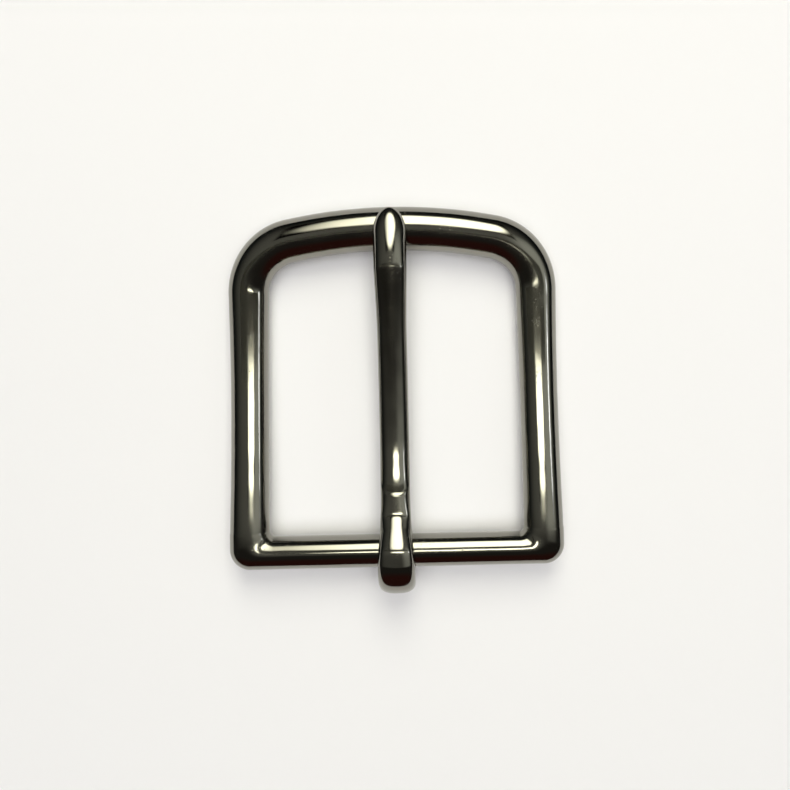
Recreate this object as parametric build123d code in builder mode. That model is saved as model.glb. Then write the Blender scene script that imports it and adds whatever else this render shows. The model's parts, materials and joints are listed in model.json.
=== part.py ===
"""Heel-bar belt buckle: a one-piece cast frame, and a tongue wrapped round the frame's heel bar.

The buckle lies on its back: z = 0 is the surface under it, the heel bar runs along X at the -Y end,
and the tongue points along +Y and rests on the top bar. The origin is under the middle of the whole.
"""
import os
from math import cos, radians, sin, sqrt

from build123d import *

# Strap and frame outline, in millimetres
strap_width = 38.0
strap_clearance = 0.3  # each side of the strap, where it folds round the heel bar
opening_taper = 0.25  # how much each side bar leans in by the upper corner
frame_reach = 49.0  # heel bar axis to the top bar's centre line
top_bow_radius = 80.0  # plan curve of the top bar
upper_corner_radius = 8.2  # plan curve of the centre line at the two upper corners

# Bar sections: each width is across the bar in plan
heel_bar_diameter = 4.9
knuckle_width = 6.1  # side bar where it meets the heel bar
knuckle_shoulder = 0.05  # the side bar's height over the heel bar's, above and below
knuckle_swell = 0.04  # the knuckle's rounding stands this proud of the side bar
side_bar_width = 5.8  # at the waist
corner_width = 6.25
top_bar_width = 6.7
top_bar_height = 6.0
low_point = 33.0  # distance from the heel bar to where the side bars touch down
inner_corner_fillet = 0.6

# Tongue: lengths are from the heel bar's axis, heights are of its top surface above that axis
loop_clearance = 0.12  # radial, round the heel bar
tail_thickness = 1.7  # under the bar
heel_thickness = 3.5  # behind and over the bar
heel_width = 5.15
heel_length = 9.5  # to the step where the heel runs into the blade
step_drop = 2.4  # of that step, below the heel's top
loop_width = 5.6  # behind the bar, its widest place
tail_end_angle = -5.0  # degrees above level, in front of the bar: the seam is just above it
loop_end_angle = 78.0  # degrees above level, over the bar, where the loop ends inside the heel
bore_overlap = 0.7  # half depth of the loop's section, before boring, as a share of its wall
blade_width = 4.5
blade_thickness = 3.0
waist_top = 2.7  # the blade's lowest place
waist_reach = 17.0
head_width = 5.0
head_setback = 1.2  # middle of the rounded tip, behind the top bar's centre line
arch_length = 4.9  # from that middle back to where the blade comes down onto the top bar
tip_length = 3.9
tip_thickness = 2.7
tip_swell = 0.03  # the tip's rounding stands this proud of the blade's end
tip_clearance = 0.12  # over the top bar
arch_clearance = 0.45  # over the top bar's height, where the blade comes down onto it

# Derived places
bar_radius = heel_bar_diameter / 2
knuckle_height = heel_bar_diameter + 2 * knuckle_shoulder
bore_radius = bar_radius + loop_clearance
loop_back = bore_radius + heel_thickness
pivot_y = loop_back - (loop_back + frame_reach + top_bar_width / 2) / 2
pivot_z = bore_radius + tail_thickness
pivot = Vector(0, pivot_y, pivot_z)
heel_half = strap_width / 2 + strap_clearance + knuckle_width / 2
corner_half = heel_half - opening_taper
top_y = pivot_y + frame_reach
corner_y = top_y - top_bow_radius + sqrt(top_bow_radius**2 - corner_half**2)
low_y = pivot_y + low_point
low_height = knuckle_height / 2
top_height = top_bar_height / 2

# The plan of the frame's centre line: side bar, top bar, side bar, with its two corners rounded
with BuildLine() as plan:
    Line((heel_half, pivot_y), (corner_half, corner_y))
    ThreePointArc((corner_half, corner_y), (0, top_y), (-corner_half, corner_y))
    Line((-corner_half, corner_y), (-heel_half, pivot_y))
    fillet(plan.vertices().group_by(Axis.Y)[-1], radius=upper_corner_radius)
path = plan.wire()
half_run = path.length / 2
side_run = plan.edges().filter_by(GeomType.LINE)[0].length
corner_run = plan.edges().sort_by(SortBy.LENGTH)[0].length
top_start = side_run + corner_run


def ease(start, end, part):
    """A value that leaves start and reaches end with no slope at either."""
    return start + (end - start) * part * part * (3 - 2 * part)


def bar_width(run):
    """Width of the frame at a distance along its centre line from the nearer knuckle."""
    if run < side_run / 2:
        return side_bar_width + (knuckle_width - side_bar_width) * (1 - 2 * run / side_run) ** 2
    if run < side_run:
        return side_bar_width + (corner_width - side_bar_width) * (2 * run / side_run - 1) ** 2
    return ease(corner_width, top_bar_width, min(1, (run - side_run) / corner_run))


def frame_station(distance):
    """Section plane, width and height of the frame at a distance along its whole centre line."""
    point = path.position_at(distance / path.length)
    heading = path.tangent_at(distance / path.length)
    if point.Y < low_y:
        part = (low_y - point.Y) / low_point
        axis_height = ease(low_height, pivot_z, part)
        slope = 6 * part * (part - 1) * (pivot_z - low_height) / low_point
        height = knuckle_height
    else:
        part = (point.Y - low_y) / (top_y - low_y)
        axis_height = ease(low_height, top_height, part)
        slope = 6 * part * (1 - part) * (top_height - low_height) / (top_y - low_y)
        height = 2 * axis_height
    station = Plane(
        (point.X, point.Y, axis_height),
        x_dir=(heading.Y, -heading.X, 0),
        z_dir=(heading.X, heading.Y, heading.Y * slope),
    )
    return station, bar_width(min(distance, path.length - distance)), height


half_runs = [side_run * step / 5 for step in range(5)]
half_runs += [side_run + corner_run * step / 4 for step in range(4)]
half_runs += [top_start + (half_run - top_start) * step / 3 for step in range(3)]
runs = half_runs + [half_run] + [path.length - run for run in reversed(half_runs)]

with BuildPart() as frame:
    # Side bars and top bar: ellipses carried along the centre line
    for run in runs:
        station, width, height = frame_station(run)
        with BuildSketch(station):
            Ellipse(width / 2, height / 2)
    loft()
    # Heel bar and its knuckles, turned in one; each side bar ends just inside its knuckle
    with BuildSketch(Plane.XY.offset(pivot_z)):
        with Locations((0, pivot_y)):
            Rectangle(2 * heel_half, heel_bar_diameter)
        with Locations((heel_half, pivot_y), (-heel_half, pivot_y)):
            Ellipse(knuckle_width / 2 + knuckle_swell, knuckle_height / 2 + knuckle_swell)
        split(bisect_by=Plane.XZ.offset(-pivot_y))
    revolve(axis=Axis(pivot, (1, 0, 0)))
    # The casting's small fillet in the corner where each side bar meets the heel bar
    creases = frame.edges().filter_by(lambda e: pivot_y + 1 < e.center().Y < pivot_y + bar_radius)
    fillet(creases.filter_by(GeomType.BSPLINE), radius=inner_corner_fillet)
frame.part.label = "frame"


bar_top = top_bar_height - pivot_z
tip_top = bar_top + tip_clearance + tip_thickness
arch_top = bar_top + arch_clearance + blade_thickness
heel_top = bore_radius + heel_thickness
step_top = heel_top - step_drop
head_reach = frame_reach - head_setback
arch_reach = head_reach - arch_length
loop_radius = bore_radius + (heel_thickness + tail_thickness) / 2
loop_middle = pivot + Vector(0, -1, 1) * (heel_thickness - tail_thickness) / 2
loop_depth = (loop_radius - bore_radius) * bore_overlap
tail_out = Vector(0, cos(radians(tail_end_angle)), sin(radians(tail_end_angle)))

# Heel: reach as a share of its length, drop below its top as a share of the step, thickness as a share, width
heel_run = (
    (0, 0.06, 1.03, heel_width),
    (1 / 3, 0.33, 1.11, heel_width),
    (2 / 3, 0.65, 1.04, heel_width),
)


def blade_station(reach):
    """Reach, top, thickness and width of the blade: parabolas fall to the waist and rise to the arch."""
    if reach < waist_reach:
        part = (waist_reach - reach) / (waist_reach - heel_length)
        width = blade_width + (heel_width - blade_width) * part**4
        return reach, waist_top + (step_top - waist_top) * part**2, blade_thickness, width
    part = (reach - waist_reach) / (arch_reach - waist_reach)
    width = blade_width + (head_width - blade_width) * part**4
    return reach, waist_top + (arch_top - waist_top) * part**2, blade_thickness, width


stations = [
    (heel_length * share, heel_top - step_drop * drop, heel_thickness * fullness, width)
    for share, drop, fullness, width in heel_run
]
stations += [blade_station(heel_length + (arch_reach - heel_length) * step / 7) for step in range(8)]
stations += [(head_reach, tip_top, tip_thickness, head_width)]

with BuildPart() as tongue:
    # Heel and blade
    for reach, top, thickness, width in stations:
        middle = pivot + Vector(0, reach, top - thickness / 2)
        with BuildSketch(Plane(middle, x_dir=(1, 0, 0), z_dir=(0, 1, 0))):
            Ellipse(width / 2, thickness / 2)
    loft()
    # The rounded tip
    tip_size = (head_width / 2 + tip_swell, tip_length, tip_thickness / 2 + tip_swell)
    tip = scale(Sphere(1, mode=Mode.PRIVATE), by=tip_size, mode=Mode.PRIVATE)
    add(tip.moved(Location(pivot + Vector(0, head_reach, tip_top - tip_thickness / 2))))
    # Loop: from the tail's end, under, behind and over the bar, thicker towards the heel
    tail_middle = loop_middle + tail_out * (loop_radius - loop_depth)
    with BuildSketch(Plane(tail_middle, x_dir=(1, 0, 0), z_dir=(0, tail_out.Z, -tail_out.Y))):
        Ellipse(loop_width / 2, loop_depth)
    loop_arc = 360 - loop_end_angle + tail_end_angle
    revolve(axis=Axis(loop_middle, (-1, 0, 0)), revolution_arc=loop_arc)
    # Bore
    with BuildSketch(Plane.YZ.offset(-loop_width)):
        with Locations((pivot_y, pivot_z)):
            Circle(bore_radius)
    extrude(amount=2 * loop_width, mode=Mode.SUBTRACT)
tongue.part.label = "tongue"

os.makedirs("parts", exist_ok=True)
export_step(frame.part, "parts/frame.step")
export_step(tongue.part, "parts/tongue.step")
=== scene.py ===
"""Looks of a heel-bar belt buckle: a cast frame, and a tongue wrapped round the frame's heel bar."""
import json
from math import atan2, cos, pi, radians, sin, sqrt

import bpy
import numpy as np
from mathutils import Matrix, Vector


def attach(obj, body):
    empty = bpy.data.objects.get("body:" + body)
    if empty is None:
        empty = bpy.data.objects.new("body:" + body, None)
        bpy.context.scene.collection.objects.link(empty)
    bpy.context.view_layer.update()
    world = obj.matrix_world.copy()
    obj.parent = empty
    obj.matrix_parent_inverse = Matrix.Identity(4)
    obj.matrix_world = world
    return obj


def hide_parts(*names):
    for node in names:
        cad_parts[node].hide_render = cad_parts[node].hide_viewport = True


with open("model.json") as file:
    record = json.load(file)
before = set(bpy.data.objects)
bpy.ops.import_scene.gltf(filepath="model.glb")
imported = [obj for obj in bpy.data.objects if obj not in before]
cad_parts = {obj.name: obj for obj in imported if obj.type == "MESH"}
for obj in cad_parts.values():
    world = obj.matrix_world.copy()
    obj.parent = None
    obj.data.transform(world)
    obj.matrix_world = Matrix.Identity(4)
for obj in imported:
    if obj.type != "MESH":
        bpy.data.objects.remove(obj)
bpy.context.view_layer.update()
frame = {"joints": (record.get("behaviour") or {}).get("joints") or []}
mm = 0.001

# ---------------------------------------------------------------------------------------------
# Frame: one nickel-plated casting. Two side bars and a bowed top bar, all of oval section, and a
# round heel bar that the side bars run into at a small creased corner. Sizes are in millimetres.
# ---------------------------------------------------------------------------------------------
hinge = Vector(frame["joints"][0]["pos_m"]) / mm
pivot_y, pivot_z = hinge.y, hinge.z
heel_half = 22.35  # from the middle to a side bar's centre line at the heel bar
side_lean = 0.25  # how much each side bar leans in by the upper corner
frame_reach = 49.0  # heel bar axis to the top bar's centre line
bow_radius = 80.0
corner_radius = 8.2
heel_bar_radius = 2.45
knuckle_width, waist_width, corner_width, top_width = 6.1, 5.8, 6.25, 6.7
side_half_height, top_half_height = 2.5, 3.0
low_point = 33.0  # from the heel bar to where the side bars touch down
climb_start, side_bow_radius = 1.5, 280.0  # where past that the side bars' climb begins, and its curve
top_rise_start = 4.3  # from there to where the bars rise again towards the top bar
levelling = 0.12  # softness of the bend from side bar to heel bar, seen from the side
crease_radius = 0.75  # inside corner of side bar and heel bar, in plan
outer_corner_radius = 3.1
polish_wave = 0.006  # hand polishing leaves the surface this uneven
round_steps = 96  # faces round every section
heel_steps, corner_steps, side_steps, bow_steps = 90, 70, 170, 70  # rings along each stretch of the frame
arc_steps = 200  # points of the outer corner's arc, before the rings are spaced along it


def smooth(part):
    """0 to 1 with no slope at either end, clipped outside."""
    part = np.clip(part, 0, 1)
    return part * part * (3 - 2 * part)


def skin(name, rings, closed):
    """A mesh from an array of rings (ring, point, xyz) in mm. A closed skin joins its last ring to its
    first; an open one is capped by a point in the middle of each end ring."""
    count, around = rings.shape[:2]
    points = rings.reshape(-1, 3)
    here = np.arange(count if closed else count - 1)[:, None] * around
    ahead = (here + around) % (count * around)
    turn = np.arange(around)[None, :]
    beside = (turn + 1) % around
    quads = np.stack([here + turn, here + beside, ahead + beside, ahead + turn], axis=-1).reshape(-1, 4)
    faces = quads.tolist()
    if not closed:
        turn, beside = turn[0], beside[0]
        last = (count - 1) * around
        ends = len(points)
        faces += np.stack([beside, turn, np.full(around, ends)], axis=-1).tolist()
        faces += np.stack([last + turn, last + beside, np.full(around, ends + 1)], axis=-1).tolist()
        points = np.vstack([points, rings[0].mean(axis=0), rings[-1].mean(axis=0)])
    mesh = bpy.data.meshes.new(name)
    mesh.from_pydata(points * mm, [], faces)
    mesh.shade_smooth()
    piece = bpy.data.objects.new(name, mesh)
    bpy.context.scene.collection.objects.link(piece)
    return piece


def wave(x, y):
    """Slow unevenness of a hand-polished surface: three crossing sines, 4 to 8 mm long."""
    crossing = np.sin(0.9 * x + 1.3 * y) + np.sin(1.1 * y - 0.7 * x + 2) + np.sin(0.75 * x + 4)
    return polish_wave * crossing / 3


def contour_run(points):
    """Length along a line of points, from 0 at its start."""
    return np.concatenate([[0], np.cumsum(np.hypot(*np.diff(points, axis=0).T))])


def half_outline():
    """Inner and outer plan outlines of the frame's +X half, point for point, from the middle of the heel
    bar round to the middle of the top bar. The heel bar is straight; in the lower corner a tight inner arc
    fans out to a wider outer one; side bar, upper corner and bow are offset either way from one centre line
    by half the bar's width."""
    inner_x = heel_half - knuckle_width / 2
    outer_x = heel_half + knuckle_width / 2
    front, back = pivot_y + heel_bar_radius, pivot_y - heel_bar_radius
    straight_end = inner_x - crease_radius
    x = np.linspace(0, straight_end, heel_steps, endpoint=False)
    heel_in = np.stack([x, np.full_like(x, front)], axis=-1)
    heel_out = np.stack([x, np.full_like(x, back)], axis=-1)
    # lower corner
    turn = np.linspace(0, pi / 2, arc_steps)
    arc = np.stack([np.sin(turn), -np.cos(turn)], axis=-1)
    outer_centre = np.array([outer_x - outer_corner_radius, back + outer_corner_radius])
    outer_arc = outer_centre + outer_corner_radius * arc
    ends = np.array([[straight_end, back]]), np.array([[outer_x, front + crease_radius]])
    corner_line = np.vstack([ends[0], outer_arc, ends[1]])
    run = contour_run(corner_line)
    share = np.linspace(0, 1, corner_steps, endpoint=False)
    corner_out = np.stack([np.interp(share * run[-1], run, corner_line[:, i]) for i in (0, 1)], axis=-1)
    fan = share * pi / 2
    corner_in = np.array([straight_end, front + crease_radius]) + crease_radius * np.stack(
        [np.sin(fan), -np.cos(fan)], axis=-1
    )
    # side bar, upper corner and bow, by their centre line, outward direction and width
    bow_y = pivot_y + frame_reach - bow_radius
    turn_x = heel_half - corner_radius
    turn_y = bow_y + sqrt((bow_radius - corner_radius) ** 2 - turn_x**2)
    bow_angle = atan2(turn_x, turn_y - bow_y)
    y = np.linspace(front + crease_radius, turn_y, side_steps, endpoint=False)
    side_run = turn_y - pivot_y
    part = 2 * (y - pivot_y) / side_run - 1
    end_width = np.where(part < 0, knuckle_width, corner_width)
    side_width = waist_width + (end_width - waist_width) * part**2
    side = np.stack([np.full_like(y, heel_half), y], axis=-1)
    side_out = np.stack([np.ones_like(y), np.zeros_like(y)], axis=-1)
    turn = np.linspace(0, pi / 2 - bow_angle, corner_steps, endpoint=False)
    corner_dir = np.stack([np.cos(turn), np.sin(turn)], axis=-1)
    corner = np.array([turn_x, turn_y]) + corner_radius * corner_dir
    turn_width = corner_width + (top_width - corner_width) * smooth(turn / turn[-1])
    swing = np.linspace(bow_angle, 0, bow_steps)
    bow_dir = np.stack([np.sin(swing), np.cos(swing)], axis=-1)
    bow = np.array([0, bow_y]) + bow_radius * bow_dir
    centre = np.vstack([side, corner, bow])
    outward = np.vstack([side_out, corner_dir, bow_dir])
    width = np.concatenate([side_width, turn_width, np.full(len(bow), top_width)])[:, None]
    inner = np.vstack([heel_in, corner_in, centre - outward * width / 2])
    outer = np.vstack([heel_out, corner_out, centre + outward * width / 2])
    lean = 1 - side_lean / heel_half * np.clip((np.stack([inner, outer])[..., 1] - pivot_y) / side_run, 0, 1)
    inner[:, 0] *= lean[0]
    outer[:, 0] *= lean[1]
    return inner, outer


def bar_heights(y):
    """Height of the bars' axis and half their thickness at a place y. Near the touch-down point begins a
    parabola up to the heel bar, into which it levels off. The other way the bars rise and thicken into the
    top bar by a fifth-power step with no bend at either end."""
    low_y = pivot_y + low_point
    top_y = pivot_y + frame_reach
    part = np.clip((y - low_y - top_rise_start) / (top_y - low_y - top_rise_start), 0, 1)
    above = part**3 * (10 - 15 * part + 6 * part**2)
    rise = pivot_z - side_half_height
    climb = np.clip(low_y + climb_start - y, 0, None) ** 2 / (2 * side_bow_radius)
    climb = np.maximum(rise - levelling * np.logaddexp(0, (rise - climb) / levelling), 0)
    axis = side_half_height + climb + (top_half_height - side_half_height) * above
    half = side_half_height + (top_half_height - side_half_height) * above
    return axis, half


def frame_rings():
    """The frame's skin: on each pair of outline points stands an oval as wide as their distance."""
    inner, outer = half_outline()
    mirror = np.array([-1, 1])
    inner = np.vstack([inner, inner[-2:0:-1] * mirror])
    outer = np.vstack([outer, outer[-2:0:-1] * mirror])
    middle = (inner + outer) / 2
    across = (outer - inner) / 2
    axis, half = bar_heights(middle[:, 1])
    # the heel bar is a little thinner than the side bars' ends
    into_knuckle = smooth((np.abs(middle[:, 0]) - heel_half + knuckle_width) / knuckle_width)
    at_heel = middle[:, 1] < pivot_y + knuckle_width
    half = np.where(at_heel, heel_bar_radius + (half - heel_bar_radius) * into_knuckle, half)
    turn = np.linspace(0, 2 * pi, round_steps, endpoint=False)
    plan = middle[:, None] + across[:, None] * np.cos(turn)[None, :, None]
    height = axis[:, None] + half[:, None] * np.sin(turn)[None, :]
    dent = wave(plan[..., 0], plan[..., 1]) - polish_wave
    height += dent * np.sin(turn)
    plan += dent[..., None] * np.cos(turn)[None, :, None] * (across / np.hypot(*across.T)[:, None])[:, None]
    return np.dstack([plan, height])


cast_frame = skin("cast_frame", frame_rings(), closed=True)
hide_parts("frame")
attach(cast_frame, "frame")

# ---------------------------------------------------------------------------------------------
# Tongue: one bar of the same metal, its flat tail wrapped round the heel bar and closed against the
# heel's underside. A crescent step parts the thick heel from the slim oval blade, which ends in a
# rounded head on the top bar. Heights and reaches are in millimetres from the heel bar's axis.
# ---------------------------------------------------------------------------------------------
bore_radius = heel_bar_radius + 0.11  # a running clearance
tail_thickness, heel_thickness = 1.7, 3.5
tail_end = radians(-5)  # the tail ends in front of the bar, just below its axis
tail_start, tail_narrowing = -0.75 * pi, 1.3  # under the bar the wrap starts to narrow, by this much in all
end_rings, end_share = 8, 0.35  # rings that round the tail's end, and the first one's share of full size
heel_length = 9.5  # to the crescent step
heel_fall, fall_start, fall_end = 1.8, 1.4, 6.1  # the heel's even slope in front of the bar
heel_slope, bend = 0.06, 0.18  # slope of the rest of the heel, and softness of the bends between
lip_angle, lip_reach = radians(48), 4.5  # place where the heel's underside leaves the bore
upright_reach, lip_length = 10.0, 7.0  # where the rings stand upright, and the length of the lip's curve
step_depth, step_bow, step_length = 0.2, 1.6, 0.6  # of the crescent step
step_floor, step_fade = 0.2, 5.0  # its flat bottom, and the way back up to the blade's own line
blade_thickness, waist_reach, waist_top = 3.0, 17.0, 2.7
head_reach, arch_length, head_length = frame_reach - 1.2, 4.9, 3.9
head_thickness = 2.7
arch_rise, arch_bend = 0.25, 0.05  # fullness over the arch, and softness of the bend there
droop_power = 0.77  # below 1, so that the head's droop steepens towards the tip
rest_height = 2 * top_half_height - pivot_z  # of the top bar's top
head_top = rest_height + 0.12 + head_thickness
arch_top = rest_height + 0.45 + blade_thickness + arch_rise
head_middle = head_top - head_thickness / 2
loop_width, blade_width, head_width = 5.58, 4.42, 4.96
heel_back, heel_blend = -4.5, 4.0  # where behind the bar the loop's width starts to become the heel's
flare_end, bulb_start, width_change = 8.8, 33.0, 12.0  # where the blade's even width starts and ends
crown_boxiness, boxy_end = 0.7, 11.0  # of the top's roundness, down to none at that reach
sole_oval, sole_boxiness, sole_end, sole_change = 2.1, 2.9, 9.0, 6.0  # the same for the underside
wrap_steps, heel_rings, blade_rings, tip_rings = 230, 190, 210, 60
dense_end = 14.0  # the rings stand closest up to here
cross_wave = 1.7  # the polish is this much more uneven across the narrow tongue than on the frame


def ramp(along, start, end):
    """0 before start, 1 after end and an even rise between, with softly bent ends."""
    rise = np.logaddexp(0, (along - start) / bend) - np.logaddexp(0, (along - end) / bend)
    return rise * bend / (end - start)


def heel_top(reach):
    """Height of the heel's top: a slight slope from its back, and the even fall."""
    from_back = reach + (heel_thickness - tail_thickness) / 2
    fall = heel_fall * ramp(reach, fall_start, fall_end) + heel_slope * from_back
    return bore_radius + heel_thickness - fall


def tongue_top(reach):
    """Height of the tongue's top along its length: an even fall in front of the bar, a parabola down to the
    waist and another up to the arch, and from there one drooping curve to the tip."""
    heel = heel_top(reach)
    part = (waist_reach - reach) / (waist_reach - heel_length)
    down = waist_top + (heel_top(heel_length) - waist_top) * part**2
    arch_reach = head_reach - arch_length
    up = waist_top + (arch_top - waist_top) * ((reach - waist_reach) / (arch_reach - waist_reach)) ** 2
    part = np.clip((reach - arch_reach) / (arch_length + head_length), 0, 1)
    droop = head_middle + (arch_top - head_middle) * (1 - part**2) ** droop_power
    up = -arch_bend * np.logaddexp(-up / arch_bend, -droop / arch_bend)
    return np.select([reach < heel_length, reach < waist_reach], [heel, down], up)


def tongue_under(reach):
    """Height of the blade's underside: its thickness below the top, easing down to rest on the top bar."""
    settle = smooth((reach - head_reach + arch_length) / arch_length)
    start = arch_top - arch_rise - blade_thickness
    resting = start + (head_top - head_thickness - start) * settle
    return np.where(settle > 0, resting, tongue_top(reach) - blade_thickness)


def tongue_width(reach):
    """Full width along the length: widest at the loop, waisted, and wider again at the head."""
    flare = (loop_width - blade_width) * smooth((flare_end - reach) / width_change)
    bulb = (head_width - blade_width) * smooth((reach - bulb_start) / width_change)
    return blade_width + flare + bulb


def tongue_rings():
    """The tongue's skin: rings between a top line and an under line, which both start at the tail's end,
    go under, behind and over the bar and run forward to the tip. Ring shape is a superellipse: boxy round
    the bar, oval on the blade. The head's width and underside close by a quarter ellipse."""
    # the wrap: top line on a circle set back from the bar's axis, under line on the bore
    swing = tail_end - np.linspace(0, 1.5 * pi + tail_end, wrap_steps, endpoint=False)
    offset = (heel_thickness - tail_thickness) / 2
    outer_radius = bore_radius + (heel_thickness + tail_thickness) / 2
    wrap = np.stack([np.cos(swing), np.sin(swing)], axis=-1)
    wrap_top = outer_radius * wrap + np.array([-offset, offset])
    wrap_low = bore_radius * wrap
    # forward part
    reach = np.concatenate([
        np.linspace(-offset, dense_end, heel_rings, endpoint=False),
        np.linspace(dense_end, head_reach, blade_rings, endpoint=False),
        head_reach + head_length * np.sin(np.linspace(0, pi / 2, tip_rings, endpoint=False)),
    ])
    on_head = np.clip((reach - head_reach) / head_length, 0, 1)
    closing = np.sqrt(1 - on_head**2)
    top = tongue_top(reach)
    under = tongue_under(reach)
    # underside: round the bore to the lip, then in one curve to where the rings stand upright
    lip_y, lip_z = bore_radius * cos(lip_angle), bore_radius * sin(lip_angle)
    lip_part = np.clip((reach + offset) / (lip_reach + offset), 0, 1)
    round_bore = pi / 2 - (pi / 2 - lip_angle) * lip_part
    along = np.clip((reach - lip_reach) / (upright_reach - lip_reach), 0, 1)
    under_reach = np.where(reach < upright_reach, lip_y + (upright_reach - lip_y) * along, reach)
    under_level = np.interp(under_reach, reach, under)
    under_height = lip_z + (under_level - lip_z) * smooth((under_reach - lip_y) / lip_length)
    ahead = np.where(reach < upright_reach, under_height, under)
    on_bore = reach < lip_reach
    low_y = np.where(on_bore, bore_radius * np.cos(round_bore), under_reach)
    low_z = np.where(on_bore, bore_radius * np.sin(round_bore), ahead)
    low_z = np.where(on_head > 0, head_middle + (low_z - head_middle) * closing, low_z)
    top_line = np.vstack([wrap_top, np.stack([reach, top], axis=-1)])
    low_line = np.vstack([wrap_low, np.stack([low_y, low_z], axis=-1)])
    # widths and ring shapes
    count = len(swing)
    tail = smooth((swing - tail_start) / (tail_end - tail_start))
    into_heel = smooth((wrap_top[:, 0] - heel_back) / heel_blend) * (wrap_top[:, 1] > 0)
    wrap_width = loop_width - tail_narrowing * tail + (tongue_width(-offset) - loop_width) * into_heel
    width = np.concatenate([wrap_width, tongue_width(np.minimum(reach, head_reach)) * closing])
    wrapped = np.ones(count)
    crown = 2 + crown_boxiness * np.concatenate([wrapped, smooth((boxy_end - reach) / boxy_end)])
    sole = sole_oval + sole_boxiness * np.concatenate([wrapped, smooth((sole_end - reach) / sole_change)])
    turn = np.linspace(0, 2 * pi, round_steps, endpoint=False)
    c, s = np.cos(turn)[None, :], np.sin(turn)[None, :]
    power = 2 / np.where(s >= 0, crown[:, None], sole[:, None])
    across = np.sign(c) * np.abs(c) ** power * width[:, None] / 2
    level = np.sign(s) * np.abs(s) ** power
    # the tail's end is rounded over its last few rings
    ending = np.clip(np.arange(count + len(reach)) / end_rings, 0, 1)
    ending = end_share + (1 - end_share) * np.sqrt(1 - (1 - ending) ** 2)[:, None]
    across *= ending
    level *= ending
    middle = (top_line + low_line) / 2
    rise = (top_line - low_line) / 2
    side = middle[:, None] + rise[:, None] * level[..., None]
    # crescent step in the top, with its horns towards the head
    at = side[..., 0] - heel_length - step_bow * (across / (blade_width / 2)) ** 4
    over = np.concatenate([np.zeros(count), np.ones(len(reach))])[:, None] * np.clip(level, 0, 1)
    bump = smooth((at + step_length) / step_length) * (1 - smooth((at - step_floor) / step_fade))
    side[..., 1] -= step_depth * bump * over
    side[..., 1] += (wave(across * cross_wave, side[..., 0]) - polish_wave) * over
    return np.dstack([across, side[..., 0] + pivot_y, side[..., 1] + pivot_z])


tongue = skin("tongue_bar", tongue_rings(), closed=False)
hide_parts("tongue")
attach(tongue, "tongue")


# ---------------------------------------------------------------------------------------------
# Metal: nickel plate over a cast and hand-polished blank. It mirrors the room almost sharply, dark
# and slightly warm, with hairline polishing scratches and a scatter of tiny casting pits.
# ---------------------------------------------------------------------------------------------
def linear(code):
    """sRGB hex to linear RGBA."""
    parts = [int(code[i:i + 2], 16) / 255 for i in (1, 3, 5)]
    return [p / 12.92 if p <= 0.04045 else ((p + 0.055) / 1.055) ** 2.4 for p in parts] + [1]


def node(tree, kind, links=None, **settings):
    """Adds a node. Settings name its sockets or its properties; links name sockets fed by (node, output)."""
    made = tree.nodes.new(kind)
    for key, value in settings.items():
        if hasattr(made, key):
            setattr(made, key, value)
        else:
            made.inputs[key.replace("_", " ")].default_value = value
    for key, (source, output) in (links or {}).items():
        tree.links.new(source.outputs[output], made.inputs[key])
    return made


def nickel_plate():
    metal = bpy.data.materials.new("polished_nickel_plate")
    metal.use_nodes = True
    tree = metal.node_tree
    tree.nodes.clear()
    place = node(tree, "ShaderNodeTexCoord")
    # hairlines run along the tongue and side bars: noise stretched 30 times, 0.12 mm apart
    stretch = node(tree, "ShaderNodeMapping", {"Vector": (place, "Object")}, Scale=(1, 1 / 30, 1))
    hairline = node(tree, "ShaderNodeTexNoise", {"Vector": (stretch, "Vector")},
                    Scale=1 / (0.12 * mm), Detail=2.0)
    # pits 0.2 mm across, only where a slow noise of 6 mm lets them through
    grain = node(tree, "ShaderNodeTexVoronoi", {"Vector": (place, "Object")}, Scale=1 / (0.45 * mm))
    patch = node(tree, "ShaderNodeTexNoise", {"Vector": (place, "Object")}, Scale=1 / (6 * mm), Detail=3.0)
    pit = node(tree, "ShaderNodeMapRange", {"Value": (grain, "Distance")}, From_Min=0.05, From_Max=0.22)
    pitted = node(tree, "ShaderNodeMapRange", {"Value": (patch, "Fac")}, From_Min=0.58, From_Max=0.66)
    # roughness: a clean polish of 0.07, up to 0.16 where handling has dulled it
    dull = node(tree, "ShaderNodeMapRange", {"Value": (patch, "Fac")}, From_Min=0.35, From_Max=0.75,
                To_Min=0.07, To_Max=0.16)
    scratch = node(tree, "ShaderNodeBump", {"Height": (hairline, "Fac")}, Strength=0.05, Distance=0.01 * mm)
    depth = node(tree, "ShaderNodeBump", {"Height": (pit, "Result"), "Normal": (scratch, "Normal"),
                                          "Strength": (pitted, "Result")}, Distance=0.02 * mm)
    shader = node(tree, "ShaderNodeBsdfPrincipled",
                  {"Roughness": (dull, "Result"), "Normal": (depth, "Normal")},
                  Base_Color=linear("#8E8C84"), Metallic=1.0)
    node(tree, "ShaderNodeOutputMaterial", {"Surface": (shader, "BSDF")})
    return metal


plate = nickel_plate()
for piece in (cast_frame, tongue):
    piece.data.materials.append(plate)


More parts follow.
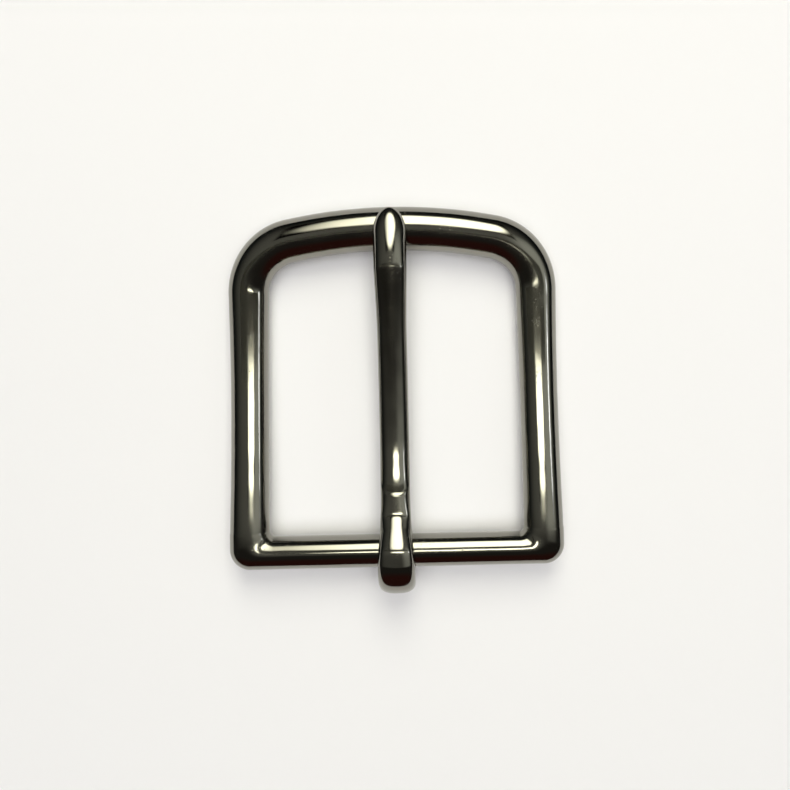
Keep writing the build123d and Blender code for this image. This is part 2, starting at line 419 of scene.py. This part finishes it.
# ---------------------------------------------------------------------------------------------
# Studio: a pale floor, a dim room, a large warm oval lamp towards the top bar, a narrow one above, a
# cool one to the right, and a card.
# ---------------------------------------------------------------------------------------------
def panel(name, centre, facing, right, size, surface):
    """A flat panel by its centre, the way it faces, the way its width runs, and its width and length in
    metres. The camera doesn't see it. surface(tree) gives its shader as (node, output)."""
    bpy.ops.mesh.primitive_plane_add(size=1)
    made = bpy.context.object
    made.name = name
    facing = Vector(facing).normalized()
    right = (Vector(right) - facing * facing.dot(Vector(right))).normalized()
    turn = Matrix((right, facing.cross(right), facing)).transposed().to_4x4()
    made.matrix_world = Matrix.Translation(centre) @ turn @ Matrix.Diagonal((size[0], size[1], 1, 1))
    look = bpy.data.materials.new(name)
    look.use_nodes = True
    look.node_tree.nodes.clear()
    node(look.node_tree, "ShaderNodeOutputMaterial", {"Surface": surface(look.node_tree)})
    made.data.materials.append(look)
    made.visible_camera = False
    return made


def emitter(name, centre, facing, right, size, colour, strength, soft_side=0.0, soft_edge=0.3):
    """A glowing oval panel. Its glow fades out over soft_edge of its radius at the rim, and fades in over
    soft_side of its width from its low end, which at 0 is a hard edge a thousandth wide."""
    def surface(tree):
        place = node(tree, "ShaderNodeTexCoord")
        parts = node(tree, "ShaderNodeSeparateXYZ", {"Vector": (place, "Object")})
        side = node(tree, "ShaderNodeMapRange", {"Value": (parts, "X")}, interpolation_type="SMOOTHSTEP",
                    From_Min=-0.5, From_Max=soft_side - 0.499, To_Max=strength)
        radius = node(tree, "ShaderNodeVectorMath", {0: (place, "Object")}, operation="LENGTH")
        rim = node(tree, "ShaderNodeMapRange", {"Value": (radius, "Value")}, interpolation_type="SMOOTHSTEP",
                   From_Min=0.5, From_Max=0.5 - soft_edge / 2)
        both = node(tree, "ShaderNodeMath", {0: (side, "Result"), 1: (rim, "Result")}, operation="MULTIPLY")
        light = node(tree, "ShaderNodeEmission", {"Strength": (both, "Value")}, Color=linear(colour))
        return light, "Emission"
    panel(name, centre, facing, right, size, surface)


def card(name, centre, size):
    """A level grey card that keeps a lamp's reflection off part of the metal. It throws no shadow."""
    def surface(tree):
        return node(tree, "ShaderNodeBsdfDiffuse", Color=linear("#606058")), "BSDF"
    made = panel(name, centre, (0, 0, -1), (1, 0, 0), size, surface)
    made.visible_shadow = False
    made.visible_diffuse = False


def toward(from_vertical, azimuth):
    """Unit vector by its angle from vertical and its turn from +Y towards +X, in degrees."""
    a, b = radians(from_vertical), radians(azimuth)
    return Vector((sin(a) * sin(b), sin(a) * cos(b), cos(a)))


window, window_distance = toward(41, 2), 0.6
lamp_height = 0.217
emitter("window", window * window_distance, -window, (1, 0, 0), (0.46, 0.52), "#FFFEEA", 5.4, soft_side=0.45)
emitter("lamp_above", (0.025, -0.004, lamp_height), (0, 0, -1), (1, 0, 0), (0.15, 0.034), "#FFFEEA", 7.5)
# The card hides lamp_above from the top bar, and leaves it to the side bars and the tongue
card("flag", (0.0, 0.0125, 0.1), (0.2, 0.015))
emitter("lamp_right", (0.3, -0.006, lamp_height), (0, 0, -1), (1, 0, 0), (0.06, 0.06), "#F2F6FF", 6.0)

floor_mesh = bpy.data.meshes.new("floor")
half_floor = 1.0
floor_mesh.from_pydata([(x * half_floor, y * half_floor, 0) for x, y in ((-1, -1), (1, -1), (1, 1), (-1, 1))],
                       [], [(0, 1, 2, 3)])
floor = bpy.data.objects.new("floor", floor_mesh)
bpy.context.scene.collection.objects.link(floor)
paper = bpy.data.materials.new("matt_paper")
paper.use_nodes = True
paper.node_tree.nodes.clear()
sheet = node(paper.node_tree, "ShaderNodeBsdfDiffuse", Color=linear("#F8F7FD"))
node(paper.node_tree, "ShaderNodeOutputMaterial", {"Surface": (sheet, "BSDF")})
floor_mesh.materials.append(paper)

# A broad overhead lamp lights the floor evenly; metal doesn't mirror it
fill = bpy.data.lights.new("fill", "AREA")
fill.shape = "DISK"
fill.size = 0.9
fill.energy = 5.0
fill_lamp = bpy.data.objects.new("fill", fill)
fill_lamp.location = (0.0, 0.0, 0.9)
fill_lamp.visible_glossy = False
bpy.context.scene.collection.objects.link(fill_lamp)

# The room: nearly black at eye level, dim grey overhead, brighter beside the right-hand lamp, and dark
# red-brown towards -Y
world = bpy.data.worlds.new("room")
world.use_nodes = True
tree = world.node_tree
tree.nodes.clear()
place = node(tree, "ShaderNodeTexCoord")
parts = node(tree, "ShaderNodeSeparateXYZ", {"Vector": (place, "Generated")})
overhead = node(tree, "ShaderNodeMapRange", {"Value": (parts, "Z")}, interpolation_type="SMOOTHSTEP",
                From_Min=0.15, From_Max=1.0)
shade = node(tree, "ShaderNodeMix", {"Factor": (overhead, "Result")}, data_type="RGBA")
shade.inputs[6].default_value, shade.inputs[7].default_value = linear("#1C201F"), linear("#787871")
near_lamp = node(tree, "ShaderNodeVectorMath", {0: (place, "Generated")}, operation="DOT_PRODUCT")
near_lamp.inputs[1].default_value = toward(38, 86)
glow = node(tree, "ShaderNodeMapRange", {"Value": (near_lamp, "Value")}, interpolation_type="SMOOTHSTEP",
            From_Min=0.84, From_Max=0.99)
lit = node(tree, "ShaderNodeMix", {"Factor": (glow, "Result")}, data_type="RGBA")
tree.links.new(shade.outputs[2], lit.inputs[6])
lit.inputs[7].default_value = linear("#D6D8CE")
dark_side = node(tree, "ShaderNodeMapRange", {"Value": (parts, "Y")}, interpolation_type="SMOOTHSTEP",
                 From_Min=-0.02, From_Max=-0.3)
dim = node(tree, "ShaderNodeMix", {"Factor": (dark_side, "Result")}, data_type="RGBA")
tree.links.new(lit.outputs[2], dim.inputs[6])
dim.inputs[7].default_value = linear("#2F2D2A")
curtain = node(tree, "ShaderNodeMapRange", {"Value": (parts, "Y")}, interpolation_type="SMOOTHSTEP",
               From_Min=-0.5, From_Max=-0.8)
room = node(tree, "ShaderNodeMix", {"Factor": (curtain, "Result")}, data_type="RGBA")
tree.links.new(dim.outputs[2], room.inputs[6])
room.inputs[7].default_value = linear("#3C1E1A")
sky = node(tree, "ShaderNodeBackground", Strength=1.0)
tree.links.new(room.outputs[2], sky.inputs["Color"])
node(tree, "ShaderNodeOutputWorld", {"Surface": (sky, "Background")})
bpy.context.scene.world = world

# Camera: over the upper right of the buckle, looking straight down, its lens shifted to centre the buckle.
# Its places are in millimetres.
camera_place = Vector((5.5, 10.5, 130))
camera_turn = radians(1.25)
picture_width = 121.6  # of the view, at the level of the bars
picture_middle = Vector((0.1, 0.3))  # the point of the buckle there
bar_level = 2.7  # height of the bars
camera_data = bpy.data.cameras.new("camera")
camera_data.sensor_width = 36
camera_data.lens = 36 * (camera_place.z - bar_level) / picture_width
camera = bpy.data.objects.new("camera", camera_data)
camera.location = camera_place * mm
camera.rotation_euler = (0, 0, -camera_turn)
aside = Matrix.Rotation(camera_turn, 2) @ (picture_middle - camera_place.xy) / picture_width
camera_data.shift_x, camera_data.shift_y = aside
bpy.context.scene.collection.objects.link(camera)
bpy.context.scene.camera = camera
bpy.context.scene.view_settings.view_transform = "Standard"
